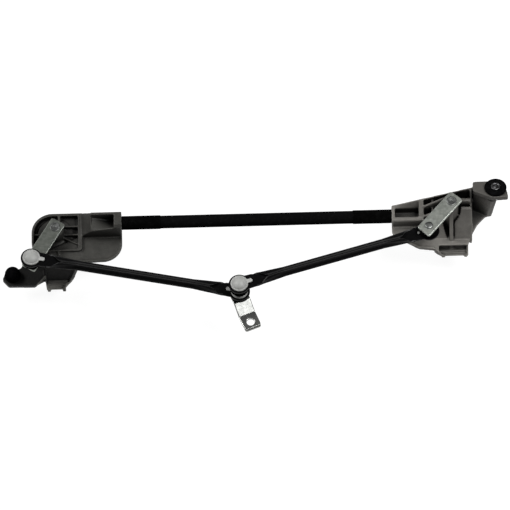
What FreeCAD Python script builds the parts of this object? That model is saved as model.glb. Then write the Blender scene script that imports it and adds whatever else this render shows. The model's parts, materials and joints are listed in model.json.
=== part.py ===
import FreeCAD, Part
import math
import os
from FreeCAD import Vector

# Windshield wiper linkage: two die-cast pivot brackets on a cross tube, two drive levers on
# their spindles, two link rods and the Z-bent motor crank that joins them.  Millimetres.
# The model is drawn about the cross tube: X along the tube, Z towards the lever side, and the
# spindles point to -Z.  At the end it is moved so that the origin is on the left spindle.

# ---- driving dimensions ---------------------------------------------------------------
TUBE_R = 9.0                 # cross tube, 18 mm outside
TUBE_WALL = 1.5
TUBE_X = (-186.0, 193.0)     # ends of the tube, against the castings
SLEEVE_R = 9.7               # shrink sleeve over each tube joint
SLEEVE_LENGTH = 54.0
SPIGOT_LENGTH = 48.0
FIT = 0.04                   # radial clearance of parts that are pressed or bonded together

PIVOT_L = (-279.7, -5.2)     # left spindle axis in X, Y
PIVOT_R = (276.3, -6.9)      # right spindle axis
LEVER_L_Z = 0.0              # underside of each drive lever
LEVER_R_Z = 49.5
LEVER_T = 4.0
LEVER_WIDTH = 22.0
LEVER_L_TAILS = (10.4, 10.4)  # lever beyond its shaft hole and beyond its ball hole
LEVER_R_TAILS = (11.5, 12.6)
LEVER_L_REACH = 64.5
LEVER_L_ANGLE = 239.2
LEVER_R_REACH = 50.0
LEVER_R_ANGLE = 229.0

BALL_R = 8.0                 # 16 mm ball studs
BALL_RISE = 10.5             # ball centre above the plate that carries it
CRANK_BALL = (-22.9, -121.5)  # axis of the double ball stud
CRANK_LOW_Z = LEVER_L_Z + LEVER_T + BALL_RISE
CRANK_HIGH_Z = CRANK_LOW_Z + 21.5

SHEET_T = 2.0                # link rod sheet
ROD_WIDTH = 14.0
ROD_HEIGHT = 11.5
PAD_R = 14.75
LINK_L_Z = CRANK_LOW_Z + 0.5   # underside of the left link's pads
LINK_R_Z = CRANK_HIGH_Z + 0.5

CRANK_T = 5.0
CRANK_WIDTH = 24.4
CRANK_ANGLE = -68.2
CRANK_BEND = (9.3, 26.0)     # start and end of the Z-bend, from the ball stud
CRANK_DROP = 10.4
CRANK_BORE = 39.0            # motor shaft hole from the ball stud
CRANK_END = 50.1
MOTOR_BORE_R = 5.6

SHAFT_R = 5.0
BUSH_R = 7.0
BUSH_LENGTH = 14.0
BOSS_R = 12.0
BOSS_SLIM_R = 9.6            # right boss, which stands in an open pocket
BOSS_L_Z = -46.0             # lower ends of the spindle bosses
BOSS_R_Z = -16.0
WASHER_T = 1.0
RUN = 0.05                   # radial running clearance of the shafts
GAP = 0.2                    # axial clearance between turning parts
THREAD_R = 4.0
THREAD_LENGTH = 16.0
CONE_LENGTH = 9.0

PEG = (-340.7, -62.0)        # rubber-capped locating peg of the left bracket
EAR = (338.7, 14.6, 48.0)    # bolt position of the right bracket
EAR_TILT = 11.0              # ear plane leans away from the levers

UP = Vector(0, 0, 1)
PARTS = {}


# ---- shape helpers --------------------------------------------------------------------
def polar(centre, reach, angle):
    a = math.radians(angle)
    return (centre[0] + reach * math.cos(a), centre[1] + reach * math.sin(a))


def cylinder(radius, z0, z1, at=(0, 0)):
    return Part.makeCylinder(radius, z1 - z0, Vector(at[0], at[1], z0))


def ring(outer, inner, z0, z1, at=(0, 0)):
    return cylinder(outer, z0, z1, at).cut(cylinder(inner, z0 - 1, z1 + 1, at))


def block(x0, x1, y0, y1, z0, z1):
    return Part.makeBox(x1 - x0, y1 - y0, z1 - z0, Vector(x0, y0, z0))


def turned(profile, at=(0, 0)):
    """Solid of revolution about the vertical line at (x, y) from (radius, z) points."""
    points = [Vector(at[0] + r, at[1], z) for r, z in profile]
    face = Part.Face(Part.makePolygon(points + points[:1]))
    return face.revolve(Vector(at[0], at[1], 0), UP, 360)


def outline(corners):
    """Closed face from (x, y, corner radius) points, with each corner rounded by an arc."""
    edges = []
    ends = []
    count = len(corners)
    for i in range(count):
        before = Vector(*corners[i - 1][:2], 0)
        here = Vector(*corners[i][:2], 0)
        after = Vector(*corners[(i + 1) % count][:2], 0)
        radius = corners[i][2] if len(corners[i]) > 2 else 0
        u = (before - here).normalize()
        v = (after - here).normalize()
        half = u.getAngle(v) / 2
        if radius < 0.01 or abs(half - math.pi / 2) < 0.01:
            ends.append((here, None, here))
            continue
        reach = radius / math.tan(half)
        middle = here + (u + v).normalize() * (radius / math.sin(half) - radius)
        ends.append((here + u * reach, middle, here + v * reach))
    for i in range(count):
        start, middle, stop = ends[i]
        if middle is not None:
            edges.append(Part.Arc(start, middle, stop).toShape())
        following = ends[(i + 1) % count][0]
        if (following - stop).Length > 1e-6:
            edges.append(Part.LineSegment(stop, following).toShape())
    return Part.Face(Part.Wire(edges))


def plan(corners, z0, z1):
    face = outline(corners)
    face.translate(Vector(0, 0, z0))
    return face.extrude(Vector(0, 0, z1 - z0))


def side(points, x0, x1):
    """(y, z) outline drawn out along X."""
    ring_points = [Vector(x0, y, z) for y, z in points]
    face = Part.Face(Part.makePolygon(ring_points + ring_points[:1]))
    return face.extrude(Vector(x1 - x0, 0, 0))


def front(points, y0, y1):
    """(x, z) outline drawn out along Y."""
    ring_points = [Vector(x, y0, z) for x, z in points]
    face = Part.Face(Part.makePolygon(ring_points + ring_points[:1]))
    return face.extrude(Vector(0, y1 - y0, 0))


def loft_x(x0, points0, x1, points1):
    """Ruled solid between two (y, z) outlines that stand at x0 and x1."""
    wires = []
    for x, points in ((x0, points0), (x1, points1)):
        ring_points = [Vector(x, y, z) for y, z in points]
        wires.append(Part.makePolygon(ring_points + ring_points[:1]))
    return Part.makeLoft(wires, True, True)


def loft_z(z0, points0, z1, points1):
    """Ruled solid between two (x, y) outlines at heights z0 and z1."""
    wires = []
    for z, points in ((z0, points0), (z1, points1)):
        ring_points = [Vector(x, y, z) for x, y in points]
        wires.append(Part.makePolygon(ring_points + ring_points[:1]))
    return Part.makeLoft(wires, True, True)


def rib(start, end, thickness, z0, tops):
    """Upright web between two plan points; its top edge runs between the two heights."""
    length = math.hypot(end[0] - start[0], end[1] - start[1])
    web = front([(0, z0), (length, z0), (length, tops[1]), (0, tops[0])],
                -thickness / 2, thickness / 2)
    web.rotate(Vector(0, 0, 0), UP, math.degrees(math.atan2(end[1] - start[1], end[0] - start[0])))
    web.translate(Vector(start[0], start[1], 0))
    return web


def joined(shapes):
    whole = shapes[0].multiFuse(shapes[1:])
    whole = whole.removeSplitter()
    if whole.ShapeType == "Compound" and len(whole.Solids) == 1:
        whole = whole.Solids[0]
    return whole


def keep(name, shape):
    PARTS[name] = shape


# ---- cross tube -----------------------------------------------------------------------
def lying(shape, x):
    """Turn a part drawn along +Z so that it lies along +X and starts at x."""
    shape.rotate(Vector(0, 0, 0), Vector(0, 1, 0), 90)
    shape.translate(Vector(x, 0, 0))
    return shape


def cross_tube():
    length = TUBE_X[1] - TUBE_X[0]
    tube = ring(TUBE_R, TUBE_R - TUBE_WALL, 0, length)
    keep("cross_tube", lying(tube, TUBE_X[0]))
    for name, x in (("left", TUBE_X[0] + 0.3), ("right", TUBE_X[1] - SLEEVE_LENGTH - 0.3)):
        sleeve = ring(SLEEVE_R, TUBE_R + 0.02, 0, SLEEVE_LENGTH)
        keep("tube_sleeve_" + name, lying(sleeve, x))


def spigot(x0, x1):
    """Cruciform-cored plug of the casting that the tube is pressed over."""
    radius = TUBE_R - TUBE_WALL - FIT
    plug = lying(ring(radius, radius - 2.5, 0, x1 - x0), x0)
    cross = block(x0, x1, -radius + 1, radius - 1, -1.2, 1.2)
    upright = block(x0, x1, -1.2, 1.2, -radius + 1, radius - 1)
    return [plug, cross, upright]


# ---- left bracket ---------------------------------------------------------------------
SKIN = 3.5                   # casting wall
L_RIM_Z = -15.0              # top of the box rim
L_FLOOR_Z = -23.0
L_PLATE_Z = -19.5
L_BASE_Z = -26.5
L_FOOT_Z = -46.0
L_BRACE_Z = L_FOOT_Z - 5.5   # lower edge of the brace between the arm and the foot
ARM_Z = -35.0


def left_box():
    """Open ribbed box round the left spindle boss."""
    x, y = PIVOT_L
    outer = [(x - 33.5, 26, 30), (-242, 26, 1), (-242, -34, 6), (-290, -34, 8), (x - 33.5, -38, 16)]
    inner = [(x - 30, 21.8, 26), (-248, 21.8, 1), (-248, -31, 3), (-289, -31, 6),
             (x - 30, -34, 12)]
    walls = plan(outer, L_BASE_Z, L_RIM_Z).cut(plan(inner, L_FLOOR_Z, L_RIM_Z + 1))
    moat = ring(29.0, 25.5, L_FLOOR_Z - 2, L_RIM_Z + 5, PIVOT_L)
    moat = moat.common(block(x - 40, x + 2, -12, 40, -40, 0)).common(
        plan(inner, L_BASE_Z, L_RIM_Z + 6))
    walls = walls.cut(moat)
    disc = cylinder(25.0, L_BASE_Z, L_FLOOR_Z + 2, PIVOT_L).common(
        block(x - 40, x + 40, -28, 24, -40, 0))
    webs = [
        rib((x, 4.8), (-246, 4.8), 2.4, L_BASE_Z, (L_RIM_Z, L_RIM_Z)),
        rib((x, -8.2), (-246, -8.2), 2.4, L_BASE_Z, (L_RIM_Z, L_RIM_Z)),
        rib((x + 9, -11), (-246, -24), 2.2, L_BASE_Z, (L_RIM_Z - 1, L_RIM_Z - 1)),
        rib((x, -6), (x - 32, -6), 2.4, L_BASE_Z, (L_RIM_Z - 2, L_RIM_Z - 2)),
        rib((-274.5, 0), (-274.5, 24), 3.4, L_BASE_Z, (L_RIM_Z, L_RIM_Z)),
        rib((-275.8, -33), (-275.8, -38.5), 2.4, L_BASE_Z, (L_RIM_Z, L_RIM_Z - 3)),
        rib((-283, -5), (-291, -33), 2.4, L_BASE_Z, (L_RIM_Z - 1, L_RIM_Z - 1)),
    ]
    return [walls, disc] + webs


def left_socket_block():
    """Block that carries the tube spigot: open on top, its lower ridge climbing to the tube."""
    x0 = TUBE_X[0]
    ramp = loft_x(-243, [(-11, L_BASE_Z), (26, L_BASE_Z), (26, L_RIM_Z), (-11, L_RIM_Z)],
                  -229, [(-11, L_BASE_Z), (12, L_BASE_Z), (12, 12), (-11, -1.5)])
    floor = loft_x(-229, [(-11, L_BASE_Z), (9, L_BASE_Z), (9, 4), (-11, -1.5)],
                   -196, [(-11, L_BASE_Z), (9, L_BASE_Z), (9, -10), (-11, 6.5)])
    far_wall = block(-229, x0 - 5, 8.4, 12, L_BASE_Z, 12)
    end_wall = side([(-11, L_BASE_Z), (12, L_BASE_Z), (12, 12), (-8, 11.5), (-11, 7.5)], -197, x0)
    return [ramp, floor, far_wall, end_wall] + spigot(x0 - 2, x0 + SPIGOT_LENGTH)


def left_plate():
    """Flat lobe below the tube socket, with a slightly raised edge."""
    corners = [(-244, -9), (-186, -9, 1), (-186, -48.6, 28), (-250, -50, 4), (-290, -51, 2),
               (-290, -30)]
    inner = [(-244, -10), (-188.6, -10), (-188.6, -46, 26), (-250, -47.4, 4),
             (-287, -48.4, 2), (-287, -30)]
    sheet = plan(corners, L_PLATE_Z - 4.5, L_PLATE_Z + 0.9)
    return sheet.cut(plan(inner, L_PLATE_Z, L_PLATE_Z + 2).cut(block(-300, -243, -38, 0, -30, 0)))


def foot_solid(profile, corners):
    """A skin drawn out along X and trimmed to a plan outline."""
    xs = [c[0] for c in corners]
    skin = side(profile, min(xs) - 1, max(xs) + 1)
    return skin.common(plan(corners, -90, 90))


def left_foot():
    """Skirt that drops to the stepped, two-pronged foot."""
    z = L_FOOT_Z
    skin = [(-36, L_PLATE_Z), (-51, L_PLATE_Z), (-64, z), (-70.5, z), (-70.5, z - 1.2),
            (-69, z - 1.2), (-69, z - 2.4), (-76, z - 2.4), (-76, z - 6), (-64, z - 6),
            (-60, z - 3), (-48, L_PLATE_Z - 4), (-36, L_PLATE_Z - 4)]
    proud = [(-36, L_PLATE_Z + 0.9), (-52.4, L_PLATE_Z + 0.9), (-67, z + 0.5), (-76, z - 1.5),
             (-76, z - 6), (-64, z - 6), (-48, L_PLATE_Z - 5), (-36, L_PLATE_Z - 5)]
    shell = foot_solid(skin, [(-296, -36), (-242, -36), (-247, -52), (-262, -68), (-269, -76),
                              (-292, -76)])
    rim = foot_solid(proud, [(-245.5, -46), (-241.5, -46), (-249, -54), (-258, -63.5),
                             (-264.3, -69.5), (-268, -76), (-272.5, -76), (-268.3, -70.5),
                             (-261.8, -65), (-252.5, -54.5)])
    wall = foot_solid(proud, [(-299, -36), (-295.5, -36), (-290.5, -76), (-293.5, -76)])
    prongs = [block(-292.4, -287.8, -79.6, -75, z - 5.6, z - 2.4),
              block(-271, -266.4, -79.6, -75, z - 5.6, z - 2.4)]
    back_ribs = [side([(-38, L_PLATE_Z - 3), (-52, L_PLATE_Z - 3), (-66, z - 5), (-58, z - 5)],
                      xr - 1.5, xr + 1.5) for xr in (-287, -272)]
    return [shell, rim, wall] + prongs + back_ribs


def left_arm():
    """Arm that carries the rubber-capped peg, with its gusset to the foot."""
    corners = [(-297, -36), (-294, -58, 2), (-309.3, -76.9, 3), (-346.5, -76.2, 5),
               (-355, -66, 3), (-350, -52, 5), (-331, -50, 4), (-316, -36)]
    skin = [(-34, L_RIM_Z - 6), (-39, L_RIM_Z - 7), (-48, ARM_Z), (-78, ARM_Z), (-78, ARM_Z - 4),
            (-46, ARM_Z - 4), (-36, L_BASE_Z - 1), (-34, L_BASE_Z)]
    plate = foot_solid(skin, corners)
    tip = plan([(-356.4, -66, 1), (-348, -77.6, 3), (-345.5, -75.6, 2), (-352.8, -66, 1)],
               ARM_Z - 4, ARM_Z + 2.5)
    under = plan(corners, ARM_Z - 8, ARM_Z - 3).cut(plan(
        [(-290, -30), (-296.8, -57.6, 2), (-310.6, -74, 3), (-345.4, -73.3, 4), (-351.6, -65.5, 2),
         (-347.6, -54.6, 4), (-330, -53, 3), (-314, -30)], ARM_Z - 9, ARM_Z - 2))
    under = under.common(block(-360, -290, -80, -48, -60, -20))
    gusset = rib((-309.3, -75.6), (-294.2, -59), 3, ARM_Z - 6, (ARM_Z - 0.5, ARM_Z - 0.5))
    gusset = gusset.fuse(front([(-312, ARM_Z - 2), (-294.5, ARM_Z - 2), (-294.5, L_BRACE_Z)],
                               -61.5, -58.5))
    brace = loft_z(L_BRACE_Z, [(-297, -62), (-294, -62), (-294, -57), (-297, -57)],
                   ARM_Z - 1, [(-309, -77), (-306, -77), (-294, -57.5), (-297, -55)])
    core = cylinder(6.0, ARM_Z - 2, ARM_Z + 10, PEG)
    return [plate, tip, under, gusset, brace, core]


def bracket_left():
    solids = left_box() + left_socket_block() + [left_plate()] + left_foot() + left_arm()
    top = LEVER_L_Z - WASHER_T - 2 * GAP
    boss = turned([(0, BOSS_L_Z), (BOSS_R - 1, BOSS_L_Z), (BOSS_R, BOSS_L_Z + 1),
                   (BOSS_R + 1.5, L_BASE_Z - 2), (BOSS_R + 4, L_BASE_Z), (BOSS_R + 4, L_FLOOR_Z + 2),
                   (BOSS_R + 1.2, L_FLOOR_Z + 4.5), (BOSS_R, top - 1), (BOSS_R - 1, top), (0, top)],
                  PIVOT_L)
    casting = joined(solids + [boss])
    casting = casting.cut(cylinder(BUSH_R, BOSS_L_Z - 1, top + 1, PIVOT_L))
    keep("bracket_left", casting)


# ---- right bracket --------------------------------------------------------------------
R_BASE_Z = -11.0
R_PLATE_Z = -7.0
R_BLOCK_Z = 10.0
PANEL_TOP = (-9.0, 31.0)     # upper and lower edges of the sloping front panel, in Y, Z
PANEL_LOW = (-40.0, -14.0)
R_FOOT_Z = -21.5
EAR_TOP = [(307, 27.5, 3), (349, 28.6, 12), (354.6, 9, 2), (356, -1, 2), (333, -2, 1),
           (307, 11, 1)]


def right_socket_block():
    x0 = TUBE_X[1]
    near = side([(-13, R_BASE_Z), (-7, R_BASE_Z), (-7, R_BLOCK_Z), (-11, R_BLOCK_Z), (-13, 8.5)],
                x0, 238)
    floor = block(x0, 238, -12, 11, R_BASE_Z, -2.5)
    far = loft_x(x0, [(6.6, R_BASE_Z), (12, R_BASE_Z), (12, 9), (10.5, 10.2), (6.6, R_BLOCK_Z)],
                 232, [(6.6, R_BASE_Z), (13.5, R_BASE_Z), (13.5, 23), (12, 24.5),
                       (6.6, R_BLOCK_Z)])
    end_wall = block(x0, x0 + 4.5, -12, 11, R_BASE_Z, R_BLOCK_Z)
    post = side([(-12, R_BASE_Z), (13.5, R_BASE_Z), (13.5, 23), (12.5, 24.5), (-8, R_BLOCK_Z),
                 (-12, R_BLOCK_Z)], 231, 238)
    return [near, floor, far, end_wall, post] + spigot(x0 - SPIGOT_LENGTH, x0 + 2)


def right_plate():
    """Base skin from the tube socket to the foot and the ear post."""
    corners = [(193, 10), (193, -24, 7), (228, -47.5, 14), (250, -51, 6), (262, -56), (298, -56),
               (300, -41, 2), (306.5, -25, 4), (313, -13, 3), (324, -1, 3), (334, 3, 4),
               (334, 24, 2), (305, 24), (232, 15)]
    skin = plan(corners, R_BASE_Z, R_PLATE_Z)
    edge = [rib((214, -37.2), (231, -47.2), 2.6, R_BASE_Z, (R_PLATE_Z + 1, R_PLATE_Z + 3)),
            rib((230, -47), (252, -50), 2.6, R_BASE_Z, (R_PLATE_Z + 3, R_PLATE_Z + 3))]
    return [skin.cut(block(258, 302, -60, -44, -20, 0))] + edge


def panel_profile(thickness):
    (y1, z1), (y2, z2) = PANEL_TOP, PANEL_LOW
    return [(y1, z1), (y2, z2), (y2 + thickness, z2), (y1 + thickness, z1 + 0.3 * thickness)]


def right_pylon():
    """Hollow pylon round the right spindle boss: sloping front panel, side and far walls."""
    right = foot_solid(panel_profile(4.2), [(280.4, 0), (303, 0), (303, -12), (306, -24),
                                            (298, -44), (279.8, -44)])
    right = right.cut(cylinder(BOSS_SLIM_R + 3.2, -5, 60, PIVOT_R))
    left = foot_solid([(-17, 12), (PANEL_LOW[0], PANEL_LOW[1]), (-35, -14), (-12, 10)],
                      [(249, 0), (262, -12), (264, -17), (266.8, -25.4), (271, -34.7),
                       (273.6, -38.5), (273.6, -44), (262, -44), (247, -38)])
    slope = [(PANEL_TOP[0] + 1, PANEL_TOP[1]), (PANEL_LOW[0] + 1, PANEL_LOW[1]), (-30, R_BASE_Z),
             (18, R_BASE_Z), (18, 44), (13, 44), (9, 31)]
    side_wall = side(slope, 302, 305.2)
    spine = side([(-8, 46), (-15, 42), (PANEL_LOW[0] - 1.6, PANEL_LOW[1] + 1.5),
                  (PANEL_LOW[0] - 1.6, R_FOOT_Z), (-30, R_FOOT_Z), (-8, R_BASE_Z)], 273.2, 278.4)
    left_wall = side([(-16, 11.5), (-38, -13), (-34, R_BASE_Z), (13, R_BASE_Z), (13, 22)],
                     249, 252)
    far = loft_x(232, [(12.3, R_BASE_Z), (14.5, R_BASE_Z), (14.5, 21.5), (12.3, 21.5)],
                 309, [(16.1, R_BASE_Z), (18.3, R_BASE_Z), (18.3, 47.5), (16.1, 47.5)])
    webs = [
        rib((236, 4.5), (268, 4.5), 3, R_BASE_Z, (18, 43)),
        rib((236, -6.5), (268, -6.5), 3, R_BASE_Z, (9.5, 33)),
        rib((284, 1.5), (304, 1.5), 5, R_BASE_Z, (42, 40)),
        rib((PIVOT_R[0], 0), (PIVOT_R[0], 16), 3, R_BASE_Z, (42, 36)),
        rib((281, -10), (303, -20), 2.6, R_BASE_Z, (26, 12)),
    ]
    return [right, left, side_wall, spine, left_wall, far] + webs


def right_foot():
    z = R_FOOT_Z
    y = PANEL_LOW[0]
    skin = [(y + 6, PANEL_LOW[1] + 4), (y, PANEL_LOW[1]), (y, z), (-46.6, z), (-46.6, z - 1.2),
            (-45.2, z - 1.2), (-45.2, z - 2.2), (-51.8, z - 2.2), (-51.8, z - 5), (-40, z - 5),
            (-34, z - 2), (-30, R_BASE_Z), (-30, R_PLATE_Z)]
    shell = foot_solid(skin, [(254, -28), (299, -28), (298, -52), (263, -52), (255, -45)])
    proud = [(-26, R_PLATE_Z), (-41, PANEL_LOW[1] + 1), (-46.6, z + 0.6), (-51.8, z - 1.6),
             (-51.8, z - 5), (-40, z - 5), (-26, R_BASE_Z)]
    cheeks = [side(proud, 296.4, 299.4),
              foot_solid(proud, [(250, -36), (252, -45.5), (257, -49.5), (262, -52), (266, -52),
                                 (260.4, -47.6), (255, -43), (254, -36)])]
    prongs = [block(262, 266.6, -54.2, -51, z - 4.8, z - 2.2),
              block(293.4, 298, -54.2, -51, z - 4.8, z - 2.2)]
    back = [side([(-22, R_BASE_Z + 1), (-38, z), (-43, z - 4.6), (-36, z - 4.6), (-18, R_BASE_Z)],
                 x - 1.5, x + 1.5) for x in (270, 290)]
    return [shell] + cheeks + prongs + back


def tilted(shape):
    """Lean a part about the ear's long edge, away from the levers."""
    shape.rotate(Vector(0, EAR[1], EAR[2]), Vector(1, 0, 0), -EAR_TILT)
    return shape


def right_ear():
    plate = plan(EAR_TOP, EAR[2] - 4, EAR[2])
    hem = plan(EAR_TOP, EAR[2] - 8, EAR[2] - 3)
    hem = hem.cut(plan([(309.5, 25), (347, 26, 10), (352, 8.6, 2), (353, 1.6, 1), (334, 1, 1),
                        (309.5, 13, 1)], EAR[2] - 9, EAR[2] - 2))
    plate = tilted(joined([plate, hem]))
    plate = plate.cut(tilted(cylinder(9.5, EAR[2] - 12, EAR[2] + 5, EAR[:2])))
    top = [(307.5, 26.5), (327, 24), (327, 8), (340, 4), (340.5, -0.5), (333, -1.4), (307.5, 11.2)]
    low = [(306, 23), (322, 22), (323, 8), (333, 5), (333.5, 1.5), (327, 0.4), (306, 11.2)]
    shell = loft_z(R_BASE_Z, low, 43.0, top)
    core_top = [(310.5, 27), (330, 27), (332, 9), (343, 7), (343, 2.4), (333.6, 1.8), (310.5, 13)]
    core_low = [(309, 27), (325, 27), (327, 9), (336, 7), (336, 4.4), (327.6, 3.6), (309, 13)]
    post = shell.cut(loft_z(R_PLATE_Z, core_low, 43.5, core_top))
    return [plate, post]


def bracket_right():
    solids = (right_socket_block() + right_plate() + right_pylon() + right_foot() + right_ear())
    top = LEVER_R_Z - WASHER_T - 2 * GAP
    boss = turned([(0, BOSS_R_Z), (BOSS_R - 1, BOSS_R_Z), (BOSS_R, BOSS_R_Z + 1),
                   (BOSS_R + 1.5, R_BASE_Z), (BOSS_R + 1.2, R_PLATE_Z + 4),
                   (BOSS_SLIM_R + 1, R_PLATE_Z + 12), (BOSS_SLIM_R, top - 6),
                   (BOSS_SLIM_R, top - 1), (BOSS_SLIM_R - 0.8, top), (0, top)], PIVOT_R)
    casting = joined(solids + [boss])
    casting = casting.cut(cylinder(BUSH_R, BOSS_R_Z - 1, top + 1, PIVOT_R))
    grommet_room = tilted(cylinder(15.6, EAR[2] - 12, EAR[2] - 4, EAR[:2]))
    keep("bracket_right", casting.cut(grommet_room))


# ---- rubber mounts --------------------------------------------------------------------
def mounts():
    cap = turned([(0, ARM_Z + 16), (4, ARM_Z + 15.6), (7.5, ARM_Z + 14), (9.8, ARM_Z + 11.4),
                  (10.8, ARM_Z + 8), (11, ARM_Z + 6), (11, ARM_Z + 1), (10.4, ARM_Z + 0.1),
                  (0, ARM_Z + 0.1)], PEG)
    keep("peg_cap_left", cap.cut(cylinder(6.05, ARM_Z - 1, ARM_Z + 10.1, PEG)))
    z = EAR[2]
    body = turned([(6.6, z - 10.5), (12, z - 10.5), (13.5, z - 9), (13.5, z - 5.6),
                   (12.6, z - 4.1), (9.4, z - 4.1), (9.4, z + 0.1), (14.4, z + 0.1),
                   (15.4, z + 0.9), (15.4, z + 2.1), (14.4, z + 3.5), (12, z + 4.4), (9, z + 4.2),
                   (6.6, z + 3.4)],
                  EAR[:2])
    keep("grommet_right", tilted(body))
    collar = turned([(4.2, z - 11), (6.5, z - 11), (6.5, z + 4.2), (6.1, z + 4.8), (4.8, z + 4.8),
                     (4.2, z + 4.2)], EAR[:2])
    keep("grommet_collar_right", tilted(collar))


# ---- spindles -------------------------------------------------------------------------
def spindle(name, at, lever_z, boss_z):
    """Shaft staked into its lever, with bushes, thrust washer, seal, washer and ring."""
    top = lever_z - WASHER_T - 2 * GAP
    for_bushes = []
    for z0 in (boss_z + 0.5, top - BUSH_LENGTH - 0.5):
        for_bushes.append(ring(BUSH_R - 0.01, SHAFT_R + RUN, z0, z0 + BUSH_LENGTH, at))
    keep("pivot_bushes_" + name, Part.makeCompound(for_bushes))
    washer_z = lever_z - GAP - WASHER_T
    keep("thrust_washer_" + name, ring(10.0, SHAFT_R + 0.15, washer_z, washer_z + WASHER_T, at))
    low = boss_z - GAP
    keep("spindle_washer_" + name, ring(9.5, SHAFT_R + 0.15, low - WASHER_T, low, at))
    clip_z = low - WASHER_T - 1.3
    groove = SHAFT_R - 0.8
    clip = ring(SHAFT_R + 2.6, groove + 0.05, clip_z, clip_z + 1.1, at)
    slot = block(at[0] - 3.2, at[0] + 3.2, at[1], at[1] + 9, clip_z - 1, clip_z + 2)
    keep("retaining_ring_" + name, clip.cut(slot))
    seal_z = boss_z + BUSH_LENGTH + 2.5
    seal = Part.makeTorus(SHAFT_R + 1.0, 0.9, Vector(at[0], at[1], seal_z))
    keep("spindle_seal_" + name, seal)
    end = low - WASHER_T - 3.6
    tip = end - CONE_LENGTH - THREAD_LENGTH
    head = lever_z + LEVER_T
    shaft = turned([(0, tip), (THREAD_R - 1, tip), (THREAD_R, tip + 1), (THREAD_R, end - CONE_LENGTH),
                    (THREAD_R + 0.4, end - CONE_LENGTH), (SHAFT_R, end), (SHAFT_R, clip_z),
                    (groove, clip_z), (groove, clip_z + 1.2), (SHAFT_R, clip_z + 1.2),
                    (SHAFT_R, seal_z - 1), (SHAFT_R - 0.1, seal_z - 1), (SHAFT_R - 0.1, seal_z + 1),
                    (SHAFT_R, seal_z + 1), (SHAFT_R, lever_z), (4.5, lever_z), (4.5, head),
                    (7.2, head), (7.2, head + 0.7), (6.2, head + 1.3), (3.5, head + 1.0),
                    (0, head + 0.7)], at)
    keep("pivot_shaft_" + name, shaft)
    return tip


# ---- levers ---------------------------------------------------------------------------
def lever(name, at, reach, angle, z, tails):
    half = LEVER_WIDTH / 2
    strap = plan([(-tails[0], -half, 3.0), (reach + tails[1], -half, 3.0),
                  (reach + tails[1], half, 3.0), (-tails[0], half, 3.0)], z, z + LEVER_T)
    edges = [e for e in strap.Edges if abs(e.BoundBox.ZMin - e.BoundBox.ZMax) < 1e-6]
    strap = strap.makeChamfer(0.5, edges)
    for hole_x, radius in ((0, 4.55), (reach, 5.05)):
        strap = strap.cut(cylinder(radius, z - 1, z + LEVER_T + 1, (hole_x, 0)))
    strap.rotate(Vector(0, 0, 0), UP, angle)
    strap.translate(Vector(at[0], at[1], 0))
    keep("drive_lever_" + name, strap)


def stud_profile(plate_far, plate_near, ball_z, way):
    """(radius, z) points of a riveted stud up to its ball's neck; way is +1 for ball up."""
    head = plate_far - way * 1.6
    face = plate_near + way * 1.5
    neck = ball_z - way * 6.5
    return [(0, head), (3.5, head + way * 0.1), (5.6, head + way * 0.9), (5.9, plate_far),
            (5.0, plate_far), (5.0, plate_near), (8.0, plate_near), (8.0, face - way * 0.4),
            (7.5, face), (4.6, face), (4.2, face + way * 0.8), (4.2, neck), (0, neck)]


def ball(at, z):
    return Part.makeSphere(BALL_R, Vector(at[0], at[1], z))


def ball_studs():
    stem = turned(stud_profile(LEVER_L_Z, LEVER_L_Z + LEVER_T, BALL_A_Z, 1), BALL_A)
    keep("ball_stud_left", joined([stem, ball(BALL_A, BALL_A_Z)]))
    stem = turned(stud_profile(LEVER_R_Z + LEVER_T, LEVER_R_Z, BALL_B_Z, -1), BALL_B)
    keep("ball_stud_right", joined([stem, ball(BALL_B, BALL_B_Z)]))
    top = LEVER_L_Z + LEVER_T
    stem = turned(stud_profile(top - CRANK_T, top, CRANK_LOW_Z, 1), CRANK_BALL)
    waist = cylinder(4.0, CRANK_LOW_Z, CRANK_HIGH_Z, CRANK_BALL)
    keep("double_ball_stud", joined([stem, ball(CRANK_BALL, CRANK_LOW_Z), waist,
                                     ball(CRANK_BALL, CRANK_HIGH_Z)]))


# ---- motor crank ----------------------------------------------------------------------
def motor_crank():
    top = LEVER_L_Z + LEVER_T
    low = top - CRANK_DROP
    bend0, bend1 = CRANK_BEND
    t = CRANK_T
    lean = math.atan2(CRANK_DROP, bend1 - bend0) / 2
    shift = t * math.tan(lean)
    profile = [(-13.5, top), (bend0, top), (bend1, low), (CRANK_END - 2.2, low),
               (CRANK_END, low - 2.0), (CRANK_END, low - t), (bend1 - shift, low - t),
               (bend0 - shift, top - t), (-13.5, top - t)]
    half = CRANK_WIDTH / 2
    strap = front(profile, -half, half)
    blank = plan([(-13.5, -half, 9), (CRANK_END, -half, 3.4), (CRANK_END, half, 3.4),
                  (-13.5, half, 9)], -40, 40)
    strap = strap.common(blank)
    strap = strap.cut(cylinder(5.05, -40, 40)).cut(cylinder(MOTOR_BORE_R, -40, 40, (CRANK_BORE, 0)))
    strap.rotate(Vector(0, 0, 0), UP, CRANK_ANGLE)
    strap.translate(Vector(CRANK_BALL[0], CRANK_BALL[1], 0))
    keep("motor_crank", strap)


# ---- link rods ------------------------------------------------------------------------
PAD_REACH = 19.6             # flat pad ends here, measured from the socket centre
ROLL_REACH = 66.0            # the sheet is rolled into a closed rod from here
FLARE = [(PAD_REACH, 20.8, SHEET_T + 0.4), (34.0, 19.4, 5.2), (48.0, 17.3, 8.2),
         (ROLL_REACH, ROD_WIDTH, ROD_HEIGHT)]  # distance, width and height of the opening rod
ROD_WALL = 1.6


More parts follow.
